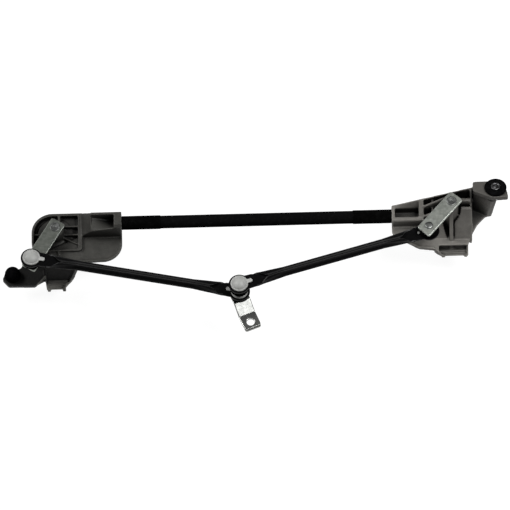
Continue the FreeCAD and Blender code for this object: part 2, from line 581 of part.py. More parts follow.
def rod_section(s, width, height):
    """Upright oval wire across the rod at distance s, centred on the pad's mid-plane."""
    half = width / 2
    corner = min(half, height / 2) * 0.98
    side_x = half - corner
    side_z = height / 2 - corner
    points = []
    for cx, cz, start in ((side_x, side_z, 0), (-side_x, side_z, 90), (-side_x, -side_z, 180),
                          (side_x, -side_z, 270)):
        for step in range(4):
            a = math.radians(start + 30 * step)
            points.append(Vector(s, cx + corner * math.cos(a),
                                 SHEET_T / 2 + cz + corner * math.sin(a)))
    return Part.makePolygon(points + points[:1])


def link_rod(name, start, end, z):
    length = math.hypot(end[0] - start[0], end[1] - start[1])
    hole = 11.2
    pads = [ring(PAD_R, hole, 0, SHEET_T), ring(PAD_R, hole, 0, SHEET_T, (length, 0))]
    necks = []
    for base, way in ((0, 1), (length, -1)):
        neck = plan([(base + way * 10, -10.9, 0), (base + way * 24, -10.3, 0),
                     (base + way * 24, 10.3, 0), (base + way * 10, 10.9, 0)], 0, SHEET_T)
        neck = neck.cut(cylinder(hole, -5, 5, (base, 0)))
        flare = Part.makeLoft([rod_section(base + way * reach, width, height)
                               for reach, width, height in FLARE], True, True)
        necks += [neck, flare]
    tube = Part.makeLoft([rod_section(ROLL_REACH, ROD_WIDTH, ROD_HEIGHT),
                          rod_section(length - ROLL_REACH, ROD_WIDTH, ROD_HEIGHT)], True, True)
    rod = joined(pads + necks + [tube])
    inner = (ROD_WIDTH - 2 * ROD_WALL, ROD_HEIGHT - 2 * ROD_WALL)
    bore = Part.makeLoft([rod_section(ROLL_REACH - 5, *inner),
                          rod_section(length - ROLL_REACH + 5, *inner)], True, True)
    rod = rod.cut(bore)
    rod.rotate(Vector(0, 0, 0), UP, heading(start, end))
    rod.translate(Vector(start[0], start[1], z))
    keep("link_rod_" + name, rod)


def heading(start, end):
    return math.degrees(math.atan2(end[1] - start[1], end[0] - start[0]))


# ---- ball sockets and boots -----------------------------------------------------------
CAP_R = 12.3
SKIRT_R = 11.1
SOCKET_CAVITY = BALL_R + 0.15
OPEN_CAVITY = BALL_R + 1.5   # the opened pivot of the closed linkage has room to float


def ball_socket(at, ball_z, sheet_z, direction, cavity, closed=True, way=1):
    """Nylon socket clipped through a link pad; way is +1 when its cap faces +Z."""
    top = sheet_z + SHEET_T - ball_z if way > 0 else ball_z - sheet_z
    rise = cavity + 2.2
    skirt = -4.6
    crown = [(9.4, top + 2.8), (9.0, top + 2.2), (8.2, top + 2.2), (7.8, rise - 1.4), (6, rise - 0.5),
             (3, rise), (0, rise)]
    if not closed:
        crown = [(9.4, top + 3.4), (0, top + 3.4)]
    profile = [(0, skirt), (SKIRT_R - 0.8, skirt), (SKIRT_R, skirt + 0.8), (SKIRT_R, top - SHEET_T),
               (SKIRT_R, top + 0.05), (CAP_R, top + 0.05), (CAP_R, top + 1.8),
               (CAP_R - 1.0, top + 2.8)] + crown
    body = turned(profile)
    tab = plan([(8, -3.2, 0), (19.2, -2.6, 2.3), (19.2, 2.6, 2.3), (8, 3.2, 0)], top + 0.05,
               top + 2.6)
    body = joined([body, tab])
    body = body.cut(Part.makeSphere(cavity, Vector(0, 0, 0)))
    mouth = 6.6 if cavity < BALL_R + 1 else 8.0
    body = body.cut(cylinder(mouth, skirt - 1, 0))
    if not closed:
        body = body.cut(cylinder(6.2, 0, top + 6))
    if way < 0:
        body.rotate(Vector(0, 0, 0), Vector(1, 0, 0), 180)
    body.rotate(Vector(0, 0, 0), UP, direction)
    body.translate(Vector(at[0], at[1], ball_z))
    return body


def dust_boot(at, sheet_face, seat, way, lip=5.4):
    """Rubber boot between a pad's face and the ball stud's seat, way -1 when it hangs down."""
    tall = abs(seat - sheet_face) - 0.3
    outer = [(13.4, 0.05), (14.0, 1.2), (13.4, 2.6), (13.8, 3.9), (12.8, 5.2), (12.6, tall - 3.0),
             (10.6, tall - 1.2), (9.6, tall), (lip, tall)]
    inner = [(lip, tall - 1.1), (9.2, tall - 1.3), (11.3, tall - 3.6), (11.3, 0.05)]
    boot = turned([(r, way * z) for r, z in outer + inner])
    boot.translate(Vector(at[0], at[1], sheet_face))
    return boot


def link_ends():
    left_dir = heading(BALL_A, CRANK_BALL)
    right_dir = heading(CRANK_BALL, BALL_B)
    keep("ball_socket_left_outer",
         ball_socket(BALL_A, BALL_A_Z, LINK_L_Z, left_dir, SOCKET_CAVITY))
    keep("ball_socket_left_inner",
         ball_socket(CRANK_BALL, CRANK_LOW_Z, LINK_L_Z, left_dir + 180, SOCKET_CAVITY, False))
    keep("ball_socket_right_inner",
         ball_socket(CRANK_BALL, CRANK_HIGH_Z, LINK_R_Z, right_dir, OPEN_CAVITY))
    keep("ball_socket_right_outer",
         ball_socket(BALL_B, BALL_B_Z, LINK_R_Z, right_dir + 180, SOCKET_CAVITY, True, -1))
    seat = LEVER_L_Z + LEVER_T + 1.5
    keep("dust_boot_left_outer", dust_boot(BALL_A, LINK_L_Z, seat, -1))
    keep("dust_boot_left_inner", dust_boot(CRANK_BALL, LINK_L_Z, seat, -1))
    keep("dust_boot_right_inner",
         dust_boot(CRANK_BALL, LINK_R_Z, LINK_R_Z - 9.5, -1, 6.0))
    keep("dust_boot_right_outer",
         dust_boot(BALL_B, LINK_R_Z + SHEET_T, LEVER_R_Z - 1.5, 1))


# ---- assembly -------------------------------------------------------------------------
BALL_A = polar(PIVOT_L, LEVER_L_REACH, LEVER_L_ANGLE)
BALL_B = polar(PIVOT_R, LEVER_R_REACH, LEVER_R_ANGLE)
BALL_A_Z = LEVER_L_Z + LEVER_T + BALL_RISE
BALL_B_Z = LEVER_R_Z - BALL_RISE


def main():
    cross_tube()
    bracket_left()
    bracket_right()
    mounts()
    tip = spindle("left", PIVOT_L, LEVER_L_Z, BOSS_L_Z)
    spindle("right", PIVOT_R, LEVER_R_Z, BOSS_R_Z)
    lever("left", PIVOT_L, LEVER_L_REACH, LEVER_L_ANGLE, LEVER_L_Z, LEVER_L_TAILS)
    lever("right", PIVOT_R, LEVER_R_REACH, LEVER_R_ANGLE, LEVER_R_Z, LEVER_R_TAILS)
    ball_studs()
    motor_crank()
    link_rod("left", BALL_A, CRANK_BALL, LINK_L_Z)
    link_rod("right", CRANK_BALL, BALL_B, LINK_R_Z)
    link_ends()
    origin = Vector(PIVOT_L[0], PIVOT_L[1], tip + THREAD_LENGTH / 2)
    os.makedirs("parts", exist_ok=True)
    for name, shape in PARTS.items():
        shape.translate(origin * -1)
        shape.exportStep(os.path.join("parts", name + ".step"))
        print(name, len(shape.Solids), round(shape.Volume), shape.isValid())
    print("origin in drawing frame", origin)


main()
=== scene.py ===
import bpy
import bmesh
import json
import math
from mathutils import Matrix, Vector, noise

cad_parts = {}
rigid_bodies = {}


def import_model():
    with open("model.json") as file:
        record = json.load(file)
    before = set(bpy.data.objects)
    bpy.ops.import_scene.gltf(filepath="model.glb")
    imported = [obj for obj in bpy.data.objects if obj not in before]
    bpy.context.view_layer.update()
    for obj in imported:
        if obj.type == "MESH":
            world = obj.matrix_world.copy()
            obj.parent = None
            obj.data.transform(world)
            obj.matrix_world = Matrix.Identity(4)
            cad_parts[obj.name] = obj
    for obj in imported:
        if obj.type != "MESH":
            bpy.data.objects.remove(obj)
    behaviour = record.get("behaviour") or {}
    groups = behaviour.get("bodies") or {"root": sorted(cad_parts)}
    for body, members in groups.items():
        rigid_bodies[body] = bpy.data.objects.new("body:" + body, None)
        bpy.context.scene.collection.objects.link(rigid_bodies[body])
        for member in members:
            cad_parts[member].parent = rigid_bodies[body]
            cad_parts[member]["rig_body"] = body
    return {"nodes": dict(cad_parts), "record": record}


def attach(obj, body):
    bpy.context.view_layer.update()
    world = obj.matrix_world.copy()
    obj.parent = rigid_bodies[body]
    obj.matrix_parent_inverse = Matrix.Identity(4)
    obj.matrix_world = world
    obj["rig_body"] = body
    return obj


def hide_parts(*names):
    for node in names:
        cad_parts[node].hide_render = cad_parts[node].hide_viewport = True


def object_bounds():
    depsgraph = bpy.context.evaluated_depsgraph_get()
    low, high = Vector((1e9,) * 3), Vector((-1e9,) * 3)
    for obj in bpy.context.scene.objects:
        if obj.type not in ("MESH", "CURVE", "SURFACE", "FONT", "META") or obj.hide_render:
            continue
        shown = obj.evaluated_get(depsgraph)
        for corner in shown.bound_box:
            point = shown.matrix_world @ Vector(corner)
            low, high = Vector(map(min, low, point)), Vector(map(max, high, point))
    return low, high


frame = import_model()
cad_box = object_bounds()
NODES = frame["nodes"]

# The row's origin seen from the cross tube's axis, where the shapes below are laid out, in mm.
TUBE_FROM_ORIGIN = Vector((279.7, 5.2, 67.8))
MM = 0.001

PIVOT_L = (-279.7, -5.2)
PIVOT_R = (276.3, -6.9)
CRANK_BALL = (-22.9, -121.5)


def polar(centre, reach, angle):
    a = math.radians(angle)
    return (centre[0] + reach * math.cos(a), centre[1] + reach * math.sin(a))


LEVER_L_Z = 0.0
LEVER_R_Z = 49.5
LEVER_T = 4.0
CRANK_T = 5.0
LEVER_L = (64.5, 239.2)
LEVER_R = (50.0, 229.0)
BALL_A = polar(PIVOT_L, *LEVER_L)
BALL_B = polar(PIVOT_R, *LEVER_R)
BALL_RADIUS = 8.0
BALL_A_Z = 14.5
BALL_B_Z = 39.0
CRANK_LOW_Z = 14.5
CRANK_HIGH_Z = 36.0
SHEET_T = 2.0
LINK_L_Z = 15.0
LINK_R_Z = 36.5
PEG = (-340.7, -62.0)
ARM_Z = -35.0
EAR = (338.7, 14.6, 48.0)
EAR_TILT = 11.0


def place(x, y, z):
    return (Vector((x, y, z)) + TUBE_FROM_ORIGIN) * MM


# ---- materials ------------------------------------------------------------------------
class Surface:
    """A principled material whose colour, roughness and bump come from node textures."""

    def __init__(self, name, metallic=0.0, specular=0.5):
        self.material = bpy.data.materials.new(name)
        self.material.use_nodes = True
        self.tree = self.material.node_tree
        self.shader = self.tree.nodes["Principled BSDF"]
        self.shader.inputs["Metallic"].default_value = metallic
        self.shader.inputs["Specular IOR Level"].default_value = specular
        self.where = self.tree.nodes.new("ShaderNodeTexCoord").outputs["Object"]
        self.last_bump = None

    def link(self, source, target):
        self.tree.links.new(source, target)

    def stretched(self, scale, turn=(0, 0, 0)):
        node = self.tree.nodes.new("ShaderNodeMapping")
        node.inputs["Scale"].default_value = scale
        node.inputs["Rotation"].default_value = turn
        self.link(self.where, node.inputs["Vector"])
        return node.outputs["Vector"]

    def noise(self, size_mm, detail=3.0, rough=0.55, where=None):
        node = self.tree.nodes.new("ShaderNodeTexNoise")
        node.inputs["Scale"].default_value = 1.0 / (size_mm * MM)
        node.inputs["Detail"].default_value = detail
        node.inputs["Roughness"].default_value = rough
        self.link(where or self.where, node.inputs["Vector"])
        return node.outputs["Fac"]

    def range(self, value, low, high, to_low, to_high):
        node = self.tree.nodes.new("ShaderNodeMapRange")
        for key, number in (("From Min", low), ("From Max", high), ("To Min", to_low),
                            ("To Max", to_high)):
            node.inputs[key].default_value = number
        self.link(value, node.inputs["Value"])
        return node.outputs["Result"]

    def blend(self, amount, low, high):
        """Colour between two others; each is a colour or the output of another blend."""
        node = self.tree.nodes.new("ShaderNodeMix")
        node.data_type = "RGBA"
        self.link(amount, node.inputs["Factor"])
        for key, colour in (("A", low), ("B", high)):
            socket = [s for s in node.inputs if s.name == key and s.type == "RGBA"][0]
            if isinstance(colour, tuple):
                socket.default_value = (*colour, 1)
            else:
                self.link(colour, socket)
        return [s for s in node.outputs if s.type == "RGBA"][0]

    def edges(self, low=0.50, high=0.56):
        """0 on flats and 1 on sharp convex edges."""
        node = self.tree.nodes.new("ShaderNodeNewGeometry")
        return self.range(node.outputs["Pointiness"], low, high, 0, 1)

    def hollow_painted_shade(self, reach_mm, low, high):
        """0 deep in corners and pockets and 1 in the open: a mask for painted shade where shade
        gathers.
        """
        node = self.tree.nodes.new("ShaderNodeAmbientOcclusion")
        node.inputs["Distance"].default_value = reach_mm * MM
        return self.range(node.outputs["AO"], low, high, 0, 1)

    def along(self, axis, low_mm, high_mm):
        """0 before and 1 after a stretch of one axis, measured from the cross tube."""
        node = self.tree.nodes.new("ShaderNodeSeparateXYZ")
        self.link(self.where, node.inputs["Vector"])
        base = getattr(TUBE_FROM_ORIGIN, axis.lower())
        return self.range(node.outputs[axis], (base + low_mm) * MM, (base + high_mm) * MM, 0, 1)

    def colour(self, value):
        self.link(value, self.shader.inputs["Base Color"])

    def roughness(self, value, low, high):
        self.link(self.range(value, 0.3, 0.7, low, high), self.shader.inputs["Roughness"])

    def bump(self, height, depth_mm, strength=1.0):
        node = self.tree.nodes.new("ShaderNodeBump")
        node.inputs["Strength"].default_value = strength
        node.inputs["Distance"].default_value = depth_mm * MM
        self.link(height, node.inputs["Height"])
        if self.last_bump:
            self.link(self.last_bump, node.inputs["Normal"])
        self.last_bump = node.outputs["Normal"]
        self.link(self.last_bump, self.shader.inputs["Normal"])


def cast_aluminium(name, dark, light, painted_foot_shade=False, upper_painted_shade=1.0):
    """Raw casting: grainy grey-brown skin, rubbed on its edges, with painted shade in its pockets.

    A true flag after the colours paints shade on the left foot and arm by position, and light on
    the foot's lower ledges and its brace; a last factor below 1 paints shade on the upper parts.
    """
    s = Surface(name, metallic=0.25, specular=0.22)
    clouds = s.range(s.noise(14, 4, 0.6), 0.35, 0.65, 0, 1)
    body = s.blend(clouds, dark, light)
    specks = s.range(s.noise(1.1, 2, 0.5), 0.56, 0.7, 0, 0.4)
    body = s.blend(specks, body, tuple(1.35 * c for c in light))
    body = s.blend(s.edges(0.52, 0.60), body, tuple(min(1, 2.0 * c) for c in light))
    if upper_painted_shade < 1.0:
        # painted shade: from 12 to 44 mm above the tube's axis the colour fades to the light tone
        # scaled by the factor
        body = s.blend(s.along("Z", 12.0, 44.0), body, tuple(upper_painted_shade * c for c in light))
    if painted_foot_shade:
        # painted shade on the foot's front and the arm top, painted light on the foot's lower
        # ledges and the brace
        painted_shade_tint = tuple(0.12 * c for c in dark)
        painted_light_tint = tuple(3.2 * c for c in light)
        foot_painted_shade = s.blend(s.along("Y", -53.5, -51.0), painted_shade_tint, body)
        foot_painted_shade = s.blend(s.along("Z", -34.5, -31.0), painted_shade_tint, foot_painted_shade)
        foot_painted_shade = s.blend(s.along("Z", -46.5, -45.4), painted_light_tint, foot_painted_shade)
        brace = s.blend(s.along("X", -310.0, -306.0), foot_painted_shade, painted_light_tint)
        brace = s.blend(s.along("Z", -36.0, -35.2), brace, foot_painted_shade)
        body = s.blend(s.along("X", -295.5, -293.5), brace, foot_painted_shade)
    # painted shade: pockets and corners darkened towards 0.08 of the dark tone
    body = s.blend(s.hollow_painted_shade(30, 0.35, 0.92), tuple(0.08 * c for c in dark), body)
    s.colour(body)
    s.roughness(s.noise(5, 3), 0.45, 0.62)
    s.bump(s.noise(0.9, 3, 0.6), 0.08)
    s.bump(s.noise(7, 2), 0.25)
    return s.material


def zinc(name, dark, light, direction, rim, streak=0.5, rough=(0.30, 0.44)):
    """Zinc-plated pressing with faint marks along its length, a fine grain and worn rims in a
    colour of their own, which on the levers is light: a painted highlight.
    """
    s = Surface(name, metallic=0.85, specular=0.5)
    along = s.stretched((0.12, 1.0, 1.0), (0, 0, math.radians(-direction)))
    marks = s.range(s.noise(1.6, 4, 0.65, along), 0.35, 0.68, 0, 1)
    mottle = s.range(s.noise(7, 4, 0.6), 0.36, 0.64, 0, 1)
    body = s.blend(mottle, dark, light)
    body = s.blend(s.range(marks, 0, 1, 0, streak), body, tuple(0.8 * c for c in dark))
    s.colour(s.blend(s.edges(0.515, 0.57), body, rim))
    s.roughness(s.noise(3, 4), *rough)
    s.bump(s.noise(0.6, 2, 0.6), 0.03)
    s.bump(s.noise(2.2, 3, 0.6, along), 0.03)
    return s.material


def black_paint(name, colour, rough, specular, rim):
    """Black dip paint: slight orange peel and dust."""
    s = Surface(name, specular=specular)
    dust = s.range(s.noise(4, 5, 0.65), 0.5, 0.75, 0, 1)
    body = s.blend(dust, colour, tuple(1.8 * c + 0.001 for c in colour))
    # Edges lightened towards the rim colour: on the rods a painted highlight along the seam's lips.
    body = s.blend(s.edges(0.51, 0.57), body, (rim, rim, rim))
    s.colour(body)
    s.roughness(s.noise(9, 4), rough - 0.06, rough + 0.1)
    s.bump(s.noise(1.8, 2, 0.5), 0.05)
    return s.material


def rubber(name, colour):
    s = Surface(name, specular=0.0)
    bloom = s.range(s.noise(5, 5, 0.7), 0.45, 0.75, 0, 1)
    s.colour(s.blend(bloom, colour, tuple(2.5 * c + 0.0008 for c in colour)))
    s.roughness(s.noise(3, 3), 0.55, 0.75)
    s.bump(s.noise(0.7, 2, 0.5), 0.06)
    return s.material


def nylon(name):
    s = Surface(name, specular=0.45)
    s.shader.inputs["Subsurface Weight"].default_value = 0.12
    s.shader.inputs["Subsurface Radius"].default_value = (0.002, 0.002, 0.0018)
    flow = s.range(s.noise(9, 3), 0.35, 0.7, 0, 1)
    body = s.blend(flow, (0.36, 0.365, 0.35), (0.43, 0.435, 0.42))
    body = s.blend(s.range(s.noise(2.2, 5, 0.7), 0.55, 0.8, 0, 0.5), body, (0.24, 0.24, 0.23))
    # painted shade: the cap's groove and corners darkened
    body = s.blend(s.hollow_painted_shade(5, 0.35, 0.9), (0.10, 0.10, 0.097), body)
    s.colour(body)
    s.roughness(s.noise(3, 3), 0.4, 0.55)
    s.bump(s.noise(0.8, 2, 0.5), 0.03)
    return s.material


def machined(name, dark, light, rough=(0.2, 0.34)):
    """Turned steel: fine rings around the shaft and slight tarnish."""
    s = Surface(name, metallic=1.0)
    rings = s.noise(0.5, 2, 0.5, s.stretched((0.15, 0.15, 1.0)))
    tarnish = s.range(s.noise(5, 4, 0.6), 0.35, 0.7, 0, 1)
    s.colour(s.blend(tarnish, dark, light))
    s.roughness(s.noise(4, 3), *rough)
    s.bump(rings, 0.02)
    return s.material


# The two castings are one alloy; the left's colours are a third of the right's, a painted shade
# copy.
CAST_L = cast_aluminium("cast_left", (0.047, 0.046, 0.042), (0.062, 0.0605, 0.055), True)
CAST_R = cast_aluminium("cast_right", (0.142, 0.136, 0.124), (0.186, 0.177, 0.162),
                        upper_painted_shade=0.5)
TUBE_PAINT = black_paint("tube_paint", (0.0040, 0.0040, 0.0042), 0.55, 0.0, 0.02)
# The rods' rim colour is a painted highlight along the open seam.
ROD_PAINT = black_paint("rod_paint", (0.0024, 0.0024, 0.0026), 0.44, 0.04, 0.07)
SLEEVE = rubber("sleeve", (0.0018, 0.0018, 0.0018))
# The left lever's colours and rims are set darker than the right's: shaded and lit copies of one
# plating.
ZINC_L = zinc("lever_zinc_left", (0.20, 0.215, 0.19), (0.28, 0.295, 0.265), 239.2,
              (0.55, 0.57, 0.54))
ZINC_R = zinc("lever_zinc_right", (0.34, 0.36, 0.325), (0.48, 0.50, 0.46), 229,
              (0.85, 0.87, 0.84))
ZINC_CRANK = zinc("crank_zinc", (0.30, 0.305, 0.295), (0.40, 0.405, 0.39), -68.2,
                  (0.10, 0.10, 0.10), 0.35, (0.15, 0.21))
STEEL = machined("stud_steel", (0.13, 0.135, 0.13), (0.22, 0.225, 0.22), (0.38, 0.50))
COLLAR = machined("collar_steel", (0.14, 0.14, 0.145), (0.24, 0.24, 0.245), (0.32, 0.45))
NYLON = nylon("nylon")
RUBBER = rubber("rubber", (0.0028, 0.0028, 0.0030))
BRONZE = machined("bronze", (0.30, 0.19, 0.09), (0.42, 0.28, 0.14), (0.3, 0.45))

FINISH = {
    "cast_left": CAST_L, "cast_right": CAST_R, "tube_paint": TUBE_PAINT, "rod_paint": ROD_PAINT,
    "sleeve": SLEEVE, "lever_zinc_left": ZINC_L, "lever_zinc_right": ZINC_R,
    "crank_zinc": ZINC_CRANK, "stud_steel": STEEL, "collar_steel": COLLAR, "nylon": NYLON,
    "rubber": RUBBER, "bronze": BRONZE,
}
SLOT_OF = {part["node"]: part["material_slot"] for part in frame["record"]["subparts"]}
BODY_OF = {n: o["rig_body"] for n, o in NODES.items()}

for node, obj in NODES.items():
    obj.data.materials.clear()
    obj.data.materials.append(FINISH[SLOT_OF[node]])


# ---- mesh helpers ---------------------------------------------------------------------
def shade(obj, angle=35):
    for polygon in obj.data.polygons:
        polygon.use_smooth = True
    bpy.context.view_layer.objects.active = obj
    obj.select_set(True)
    bpy.ops.object.shade_smooth_by_angle(angle=math.radians(angle))
    obj.select_set(False)


def stand_in(obj, node, angle=35):
    """obj is shown instead of a CAD node, on the same body and with the same finish."""
    obj.data.materials.clear()
    obj.data.materials.append(FINISH[SLOT_OF[node]])
    shade(obj, angle)
    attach(obj, BODY_OF[node])
    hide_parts(node)
    return obj


def new_object(name, bm):
    mesh = bpy.data.meshes.new(name)
    bm.normal_update()
    bm.to_mesh(mesh)
    bm.free()
    obj = bpy.data.objects.new(name, mesh)
    bpy.context.scene.collection.objects.link(obj)
    return obj


def apply_modifiers(obj):
    view = bpy.context.evaluated_depsgraph_get()
    mesh = bpy.data.meshes.new_from_object(obj.evaluated_get(view))
    obj.modifiers.clear()
    obj.data = mesh


def soft_copy(node, voxel_mm, passes):
    """The piece with every edge and inner corner rounded as its die or press leaves it."""
    obj = NODES[node].copy()
    obj.data = NODES[node].data.copy()
    obj.name = node + "_shown"
    for key in list(obj.keys()):
        del obj[key]
    obj.parent = None
    bpy.context.scene.collection.objects.link(obj)
    remesh = obj.modifiers.new("remesh", "REMESH")
    remesh.mode = "VOXEL"
    remesh.voxel_size = voxel_mm * MM
    smooth = obj.modifiers.new("smooth", "SMOOTH")
    smooth.factor = 0.5
    smooth.iterations = passes
    apply_modifiers(obj)
    return stand_in(obj, node, 180)


# ---- castings, levers and crank -------------------------------------------------------
soft_copy("bracket_left", 0.85, 4)
soft_copy("bracket_right", 0.9, 4)
soft_copy("drive_lever_left", 0.32, 10)
soft_copy("drive_lever_right", 0.32, 10)
soft_copy("motor_crank", 0.32, 24)


# ---- turned pieces --------------------------------------------------------------------
def round_corners(points, radius, closed):
    """(radius, z) polyline with each corner replaced by a short curve."""
    result = []
    count = len(points)
    for i, here in enumerate(points):
        if not closed and i in (0, count - 1):
            result.append(here)
            continue
        here = Vector(here)
        before = Vector(points[i - 1]) - here
        after = Vector(points[(i + 1) % count]) - here
        start = here + before.normalized() * min(radius, before.length * 0.45)
        end = here + after.normalized() * min(radius, after.length * 0.45)
        for t in (0.0, 0.25, 0.5, 0.75, 1.0):
            result.append(tuple(start.lerp(here, t).lerp(here.lerp(end, t), t)))
    return result


def add_turned(bm, profile, radius=0.4, closed=False, steps=72, relief=None):
    """Add a solid of revolution about Z; relief(angle, z) is added to the radius."""
    rows = []
    for r, z in round_corners(profile, radius, closed):
        row = []
        for i in range(steps):
            a = 2 * math.pi * i / steps
            wide = r + (relief(a, z) if relief and r > 0 else 0)
            row.append(bm.verts.new((wide * math.cos(a), wide * math.sin(a), z)))
        rows.append(row)
    pairs = list(zip(rows, rows[1:]))
    if closed:
        pairs.append((rows[-1], rows[0]))
    for low_row, high_row in pairs:
        for i in range(steps):
            k = (i + 1) % steps
            bm.faces.new((low_row[i], low_row[k], high_row[k], high_row[i]))
    bmesh.ops.remove_doubles(bm, verts=bm.verts, dist=1e-5)


def add_prism(bm, corners, z0, z1, bevel):
    """Add an upright block on an outline, with its edges rounded."""
    base = [bm.verts.new((x, y, z0)) for x, y in corners]
    top = [bm.verts.new((x, y, z1)) for x, y in corners]
    count = len(corners)
    faces = [bm.faces.new(base[::-1]), bm.faces.new(top)]
    for i in range(count):
        k = (i + 1) % count
        faces.append(bm.faces.new((base[i], base[k], top[k], top[i])))
    edges = {e for f in faces for e in f.edges}
    bmesh.ops.bevel(bm, geom=list(edges), offset=bevel, segments=3, affect="EDGES", profile=0.5)


def drawn(bm, matrix):
    """Move a shape from its own millimetres into the row's metres, with its faces outward."""
    shift = Matrix.Translation(place(0, 0, 0)) @ Matrix.Scale(MM, 4) @ matrix
    bmesh.ops.transform(bm, matrix=shift, verts=bm.verts)
    bmesh.ops.recalc_face_normals(bm, faces=bm.faces)


def at(x, y, z, turn=0.0, flip=False):
    matrix = Matrix.Translation((x, y, z)) @ Matrix.Rotation(math.radians(turn), 4, "Z")
    return matrix @ Matrix.Rotation(math.pi, 4, "X") if flip else matrix


def turned_piece(node, profile, matrix, radius=0.4, closed=False, relief=None, steps=72):
    bm = bmesh.new()
    add_turned(bm, profile, radius, closed, steps, relief)
    drawn(bm, matrix)
    return stand_in(new_object(node + "_shown", bm), node)


def heading(start, end):
    return math.degrees(math.atan2(end[1] - start[1], end[0] - start[0]))


LINK_L_TURN = heading(BALL_A, CRANK_BALL)
LINK_R_TURN = heading(CRANK_BALL, BALL_B)


# ---- ball sockets ---------------------------------------------------------------------
CAP_R = 12.3
SKIRT_R = 11.1


def socket(node, ball, ball_z, sheet_z, turn, closed=True, flip=False):
    """Nylon socket: skirt, rimmed flange, groove, low dome and tab; a flipped one has a finger."""
    top = ball_z - sheet_z if flip else sheet_z + SHEET_T - ball_z
    crown = [(CAP_R - 0.1, top + 2.1), (CAP_R - 0.7, top + 2.8), (11.0, top + 2.6),
             (10.4, top + 2.4), (9.9, top + 3.1), (8.8, top + 4.4), (6.8, top + 5.9),
             (4.5, top + 7.1), (2.2, top + 7.7), (0, top + 7.9)]
    if not closed:
        crown = [(CAP_R - 0.2, top + 1.9), (CAP_R - 1.3, top + 3.0), (9.4, top + 3.4),
                 (6.3, top + 3.4), (6.3, top - 1.0)]
    profile = [(6.6, 0.0), (6.6, -4.6), (SKIRT_R - 0.8, -4.6), (SKIRT_R, -3.8), (SKIRT_R, top),
               (CAP_R, top + 0.05)] + crown
    bm = bmesh.new()
    add_turned(bm, profile, 0.5)
    tab = [(8, -3.2), (17.4, -2.8), (18.7, -1.8), (19.2, 0), (18.7, 1.8), (17.4, 2.8), (8, 3.2)]
    add_prism(bm, tab, top + 0.05, top + 2.5, 0.5)
    if flip:
        add_prism(bm, [(12.9, -1.7), (16.4, -1.7), (16.4, 1.7), (12.9, 1.7)], top - SHEET_T - 2.2,
                  top + 0.4, 0.4)
    drawn(bm, at(ball[0], ball[1], ball_z, turn, flip))
    return stand_in(new_object(node + "_shown", bm), node)


socket("ball_socket_left_outer", BALL_A, BALL_A_Z, LINK_L_Z, LINK_L_TURN)
socket("ball_socket_left_inner", CRANK_BALL, CRANK_LOW_Z, LINK_L_Z, LINK_L_TURN + 180, False)
socket("ball_socket_right_inner", CRANK_BALL, CRANK_HIGH_Z, LINK_R_Z, LINK_R_TURN)
socket("ball_socket_right_outer", BALL_B, BALL_B_Z, LINK_R_Z, LINK_R_TURN + 180, True, True)


def boot(node, ball, sheet_face, seat, flip, lip=5.4):
    """Rubber boot with two rolled beads, a thin skirt and a lip around the stud."""
    tall = abs(seat - sheet_face) - 0.3
    profile = [(13.2, 0.05), (14.0, 0.7), (14.0, 1.6), (13.1, 2.5), (13.9, 3.4), (13.6, 4.6),
               (12.9, 5.4), (13.3, tall - 2.6), (13.2, tall - 1.5), (11.6, tall - 0.5), (9.2, tall),
               (lip, tall), (lip, tall - 1.1), (9.0, tall - 1.5), (11.3, tall - 3.6), (11.3, 0.05)]
    turned_piece(node, profile, at(ball[0], ball[1], sheet_face, 0, flip), 0.6, True)


boot("dust_boot_left_outer", BALL_A, LINK_L_Z, LEVER_L_Z + LEVER_T + 1.5, True)
boot("dust_boot_left_inner", CRANK_BALL, LINK_L_Z, LEVER_L_Z + LEVER_T + 1.5, True)
boot("dust_boot_right_inner", CRANK_BALL, LINK_R_Z, LINK_R_Z - 12.4, True, 6.0)
boot("dust_boot_right_outer", BALL_B, LINK_R_Z + SHEET_T, LEVER_R_Z - 1.5, False)


# ---- studs and spindles ---------------------------------------------------------------
def ball_arc(centre, start, end):
    """Points of the ball's outline between two angles from its stem."""
    points = []
    for i in range(15):
        a = math.radians(start + (end - start) * i / 14)
        points.append((BALL_RADIUS * math.sin(a), centre - BALL_RADIUS * math.cos(a)))
    return points


RIVET = [(0, -1.5), (1.6, -1.55), (3.6, -1.4), (5.2, -0.8), (5.9, 0.0), (5.0, 0.1)]


def stud(node, base, plate_z, flip, plate, balls):
    """Riveted ball stud; heights run from the plate's far face towards the ball."""
    profile = list(RIVET) + [(5.0, plate), (8.0, plate), (8.0, plate + 1.1), (7.5, plate + 1.5),
                             (4.6, plate + 1.5), (4.2, plate + 2.3)]
    for i, centre in enumerate(balls):
        last = i == len(balls) - 1
        profile += ball_arc(centre, 31 if i == 0 else 30, 180 if last else 150)
    turned_piece(node, profile, at(base[0], base[1], plate_z, 0, flip), 0.3)


stud("ball_stud_left", BALL_A, LEVER_L_Z, False, LEVER_T, [BALL_A_Z - LEVER_L_Z])
stud("ball_stud_right", BALL_B, LEVER_R_Z + LEVER_T, True, LEVER_T,
     [LEVER_R_Z + LEVER_T - BALL_B_Z])
stud("double_ball_stud", CRANK_BALL, LEVER_L_Z + LEVER_T - CRANK_T, False, CRANK_T,
     [CRANK_LOW_Z - LEVER_L_Z + 1.0, CRANK_HIGH_Z - LEVER_L_Z + 1.0])


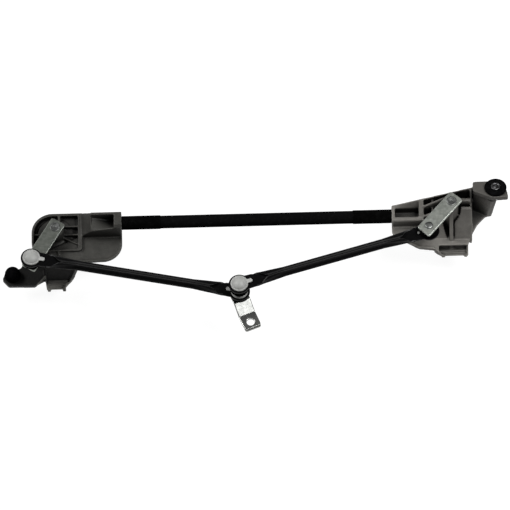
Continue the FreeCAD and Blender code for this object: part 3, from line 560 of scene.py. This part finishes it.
def spindle(node, pivot, lever_z, boss_z):
    """Stepped shaft with a staked head, circlip groove, knurled taper and M8 thread."""
    low = boss_z - 0.2 - 1.0
    clip = low - 1.3
    end = low - 3.6
    cone = end - 9.0
    tip = cone - 16.0
    head = lever_z + LEVER_T
    threads = [(3.95, tip + 1 + 0.25 * i) for i in range(int((cone - tip - 1.6) / 0.25))]
    knurls = [(4.45 + 0.5 * i / 12, cone + 0.3 + 8.4 * i / 12) for i in range(13)]
    profile = [(0, tip), (3.0, tip)] + threads + [(3.4, cone - 0.5), (3.4, cone)] + knurls
    profile += [(5, end), (5, clip), (4.2, clip), (4.2, clip + 1.2), (5, clip + 1.2), (5, lever_z),
                (4.6, lever_z), (4.6, head), (7.2, head), (7.2, head + 0.8), (6.4, head + 1.3),
                (4.9, head + 1.25), (4.3, head + 0.55), (2.0, head + 0.45), (1.6, head + 0.2),
                (0, head + 0.1)]

    def relief(a, z):
        if tip + 1 < z < cone - 0.5:
            return -0.32 * abs(2 * ((z - tip) / 1.25 - a / (2 * math.pi)) % 2 - 1)
        if cone < z < end:
            return 0.16 * (1 if math.cos(36 * a) > 0 else -1)
        return 0

    turned_piece(node, profile, at(pivot[0], pivot[1], 0), 0.12, False, relief, 144)


spindle("pivot_shaft_left", PIVOT_L, LEVER_L_Z, -46.0)
spindle("pivot_shaft_right", PIVOT_R, LEVER_R_Z, -16.0)


# ---- rubber mounts --------------------------------------------------------------------
turned_piece("peg_cap_left", [(0, 16.2), (4, 15.8), (7.5, 14.2), (9.8, 11.6), (10.8, 8.2),
                              (11, 6), (11, 2.4), (10.4, 1.9), (11, 1.3), (10.6, 0.1), (0, 0.1)],
             at(PEG[0], PEG[1], ARM_Z), 1.2)
lean = at(*EAR) @ Matrix.Rotation(math.radians(-EAR_TILT), 4, "X")
turned_piece("grommet_right",
             [(6.6, -10.5), (12, -10.5), (13.5, -9), (13.5, -5.6), (12.6, -4.1), (9.4, -4.1),
              (9.4, 0.1), (14.4, 0.1), (15.4, 0.9), (15.4, 2.3), (14.2, 3.6), (12.4, 4.4),
              (11.2, 4.5), (10.6, 3.9), (9.8, 3.9), (9.2, 4.5), (7.6, 4.3), (6.6, 3.4)],
             lean, 0.7, True)
turned_piece("grommet_collar_right",
             [(4.2, -11), (6.5, -11), (6.5, 4.2), (6.1, 4.8), (4.9, 4.8), (4.2, 4.1)],
             lean, 0.35, True)


# ---- cross tube -----------------------------------------------------------------------
def along_tube(node, x0, x1, outer, inner, relief, rows):
    """Tube along X from rings of points; relief(x, angle) is added to the outer radius."""
    bm = bmesh.new()
    steps = 96
    stations = [(x0, inner, False)]
    stations += [(x0 + (x1 - x0) * i / rows, outer, True) for i in range(rows + 1)]
    stations += [(x1, inner, False)]
    rings = []
    for x, r, shaped in stations:
        ring = []
        for i in range(steps):
            a = 2 * math.pi * i / steps
            wide = r + (relief(x, a) if shaped else 0)
            ring.append(bm.verts.new((x, wide * math.sin(a), wide * math.cos(a))))
        rings.append(ring)
    for k, ring in enumerate(rings):
        after = rings[(k + 1) % len(rings)]
        for i in range(steps):
            j = (i + 1) % steps
            bm.faces.new((ring[i], ring[j], after[j], after[i]))
    drawn(bm, Matrix.Identity(4))
    return stand_in(new_object(node + "_shown", bm), node)


TUBE_X = (-186.0, 193.0)
TUBE_R = 9.0
TUBE_DENTS = [(-46.0, 0.9, 1.6, 0.30), (18.5, 0.7, 2.6, 0.55)]


def tube_relief(x, a):
    """Round punch marks: each dent is (x, angle, radius, depth)."""
    depth = 0.03 * noise.noise(Vector((x * 0.05, math.cos(a), math.sin(a))))
    for dent_x, dent_a, radius, deep in TUBE_DENTS:
        gap = math.hypot(x - dent_x, TUBE_R * (a - dent_a)) / radius
        if gap < 1:
            depth -= deep * (1 - gap * gap) ** 2
    return depth


def sleeve_relief(x, a):
    """Shrink sleeve: shallow wrinkles."""
    return 0.10 * noise.noise(Vector((x * 0.16, 1.6 * math.cos(a), 1.6 * math.sin(a))))


along_tube("cross_tube", *TUBE_X, TUBE_R, 7.5, tube_relief, 500)
for sleeve_node in ("tube_sleeve_left", "tube_sleeve_right"):
    corners = [Vector(c) for c in NODES[sleeve_node].bound_box]
    low_x = min(c.x for c in corners) / MM - TUBE_FROM_ORIGIN.x
    high_x = max(c.x for c in corners) / MM - TUBE_FROM_ORIGIN.x
    along_tube(sleeve_node, low_x, high_x, 9.68, 9.06, sleeve_relief, 80)


# ---- link rods ------------------------------------------------------------------------
PAD_R = 14.75
PAD_REACH = 19.6
CLOSED_REACH = 44.0
FLARE = [(PAD_REACH, 22.4, 2.2), (34.0, 18.9, 5.2), (48.0, 17.0, 8.2), (66.0, 14.0, 11.5)]
CLOSED_SHARE = 0.985   # of the full way round, which leaves the seam open
ACROSS = 56            # faces across the sheet


def smooth_step(t):
    t = max(0.0, min(1.0, t))
    return t * t * (3 - 2 * t)


def flare_at(reach):
    for (s0, w0, h0), (s1, w1, h1) in zip(FLARE, FLARE[1:]):
        if reach <= s1:
            t = (reach - s0) / (s1 - s0)
            return w0 + (w1 - w0) * t, h0 + (h1 - h0) * t
    return FLARE[-1][1:]


def rod_point(reach, u):
    """(y, z) of the sheet's outer face at a distance from the socket; u is -1 to 1 across."""
    if reach <= PAD_REACH:
        half = math.sqrt(max(PAD_R ** 2 - reach ** 2, 0.0))
        if reach > 0:
            half = max(half, 11.0 - 0.046 * reach)
        return half * u, 0.0
    width, height = flare_at(reach)
    curl = height / 2
    flat = width / 2 - curl
    full = 2 * flat + math.pi * curl
    t = smooth_step((reach - PAD_REACH) / (CLOSED_REACH - PAD_REACH))
    path = abs(u) * (flat + (CLOSED_SHARE * full - flat) * t)
    if path <= flat:
        y, z = path, -curl
    elif path <= flat + math.pi * curl:
        a = (path - flat) / curl
        y, z = flat + curl * math.sin(a), -curl * math.cos(a)
    else:
        y, z = 2 * flat + math.pi * curl - path, curl
    if t > 0.9:
        z -= 0.9 * smooth_step((abs(u) - 0.94) / 0.06)
    return math.copysign(y, u), z + SHEET_T / 2


def link_rod(node, start, end, sheet_z):
    """One sheet rolled into a rod with an open seam on top and flat round ends."""
    length = math.hypot(end[0] - start[0], end[1] - start[1])
    stops = [-PAD_R * math.cos(math.radians(4 + 86 * i / 16)) for i in range(17)]
    stops += [1.5 * i for i in range(1, 13)] + [PAD_REACH]
    stops += [PAD_REACH + 1.4 * i for i in range(1, 34)]
    stops += [length / 2 - (length / 2 - 66) * (1 - i / 20) for i in range(21)]
    stops += [length - s for s in reversed(stops[:-1])]
    bm = bmesh.new()
    rows = []
    for s in stops:
        reach = min(s, length - s)
        row = []
        for i in range(ACROSS + 1):
            y, z = rod_point(reach, 2 * i / ACROSS - 1)
            row.append(bm.verts.new((s, y, z)))
        rows.append(row)
    for row, after in zip(rows, rows[1:]):
        for i in range(ACROSS):
            bm.faces.new((row[i], row[i + 1], after[i + 1], after[i]))
    to_row = Matrix.Translation(place(0, 0, 0)) @ Matrix.Scale(MM, 4)
    spot = at(start[0], start[1], sheet_z, heading(start, end))
    bmesh.ops.transform(bm, matrix=to_row @ spot, verts=bm.verts)
    rod = new_object(node + "_shown", bm)
    sheet = rod.modifiers.new("sheet", "SOLIDIFY")
    sheet.thickness = SHEET_T * 0.95 * MM
    sheet.offset = -1
    edge = rod.modifiers.new("edge", "BEVEL")
    edge.width = 0.35 * MM
    edge.segments = 2
    edge.limit_method = "ANGLE"
    edge.angle_limit = math.radians(50)
    apply_modifiers(rod)
    stand_in(rod, node, 50)


link_rod("link_rod_left", BALL_A, CRANK_BALL, LINK_L_Z)
link_rod("link_rod_right", CRANK_BALL, BALL_B, LINK_R_Z)


# ---- floor, light, camera -------------------------------------------------------------
FLOOR_GAP = 0.5 * MM
low = cad_box[0][2] - FLOOR_GAP
bm = bmesh.new()
bmesh.ops.create_grid(bm, x_segments=2, y_segments=2, size=6.0)
floor = new_object("floor", bm)
floor.location = (0.28, 0.0, low)
floor_skin = Surface("floor_white", specular=0.2)
floor_skin.colour(floor_skin.blend(floor_skin.noise(300), (0.15, 0.15, 0.15), (0.17, 0.17, 0.17)))
floor_skin.shader.inputs["Roughness"].default_value = 0.9
floor_skin.shader.inputs["Emission Color"].default_value = (1, 1, 1, 1)
floor_skin.shader.inputs["Emission Strength"].default_value = 0.93
floor.data.materials.append(floor_skin.material)
floor.visible_diffuse = False

world = bpy.data.worlds.new("studio")
bpy.context.scene.world = world
world.use_nodes = True
world.node_tree.nodes["Background"].inputs["Color"].default_value = (1, 1, 1, 1)
world.node_tree.nodes["Background"].inputs["Strength"].default_value = 0.10


def area_light(name, aim, direction, distance, size, power, lights_diffuse=True):
    data = bpy.data.lights.new(name, "AREA")
    data.shape = "DISK"
    data.size = size
    data.energy = power
    lamp = bpy.data.objects.new(name, data)
    bpy.context.scene.collection.objects.link(lamp)
    lamp.visible_diffuse = lights_diffuse
    towards = Vector(direction).normalized()
    lamp.location = aim + towards * distance
    lamp.rotation_euler = towards.to_track_quat("Z", "Y").to_euler()


AIM = place(0, -56.1, 0)
VIEW_TILT = math.radians(62)
VIEW_ROLL = math.radians(1.45)
VIEW_WIDTH = 0.714
LENS = 500
SENSOR = 36
view_dir = Vector((0, -math.cos(VIEW_TILT), math.sin(VIEW_TILT)))
distance = VIEW_WIDTH * LENS / SENSOR

area_light("key_right", AIM, (0.48, -0.07, 0.87), 1.4, 0.6, 14)
area_light("key_left", AIM, (-0.66, 0.24, 0.71), 2.4, 0.8, 32)
area_light("card", AIM, (0.384, -0.491, 0.781), 2.4, 0.6, 3.3, False)

camera_data = bpy.data.cameras.new("camera")
camera_data.lens = LENS
camera_data.sensor_width = SENSOR
camera = bpy.data.objects.new("camera", camera_data)
bpy.context.scene.collection.objects.link(camera)
camera.location = AIM + view_dir * distance
look = view_dir.to_track_quat("Z", "Y").to_matrix().to_4x4()
roll = Matrix.Rotation(-VIEW_ROLL, 4, "Z")
camera.matrix_world = Matrix.Translation(camera.location) @ look @ roll
bpy.context.scene.camera = camera
bpy.context.scene.view_settings.view_transform = "Standard"
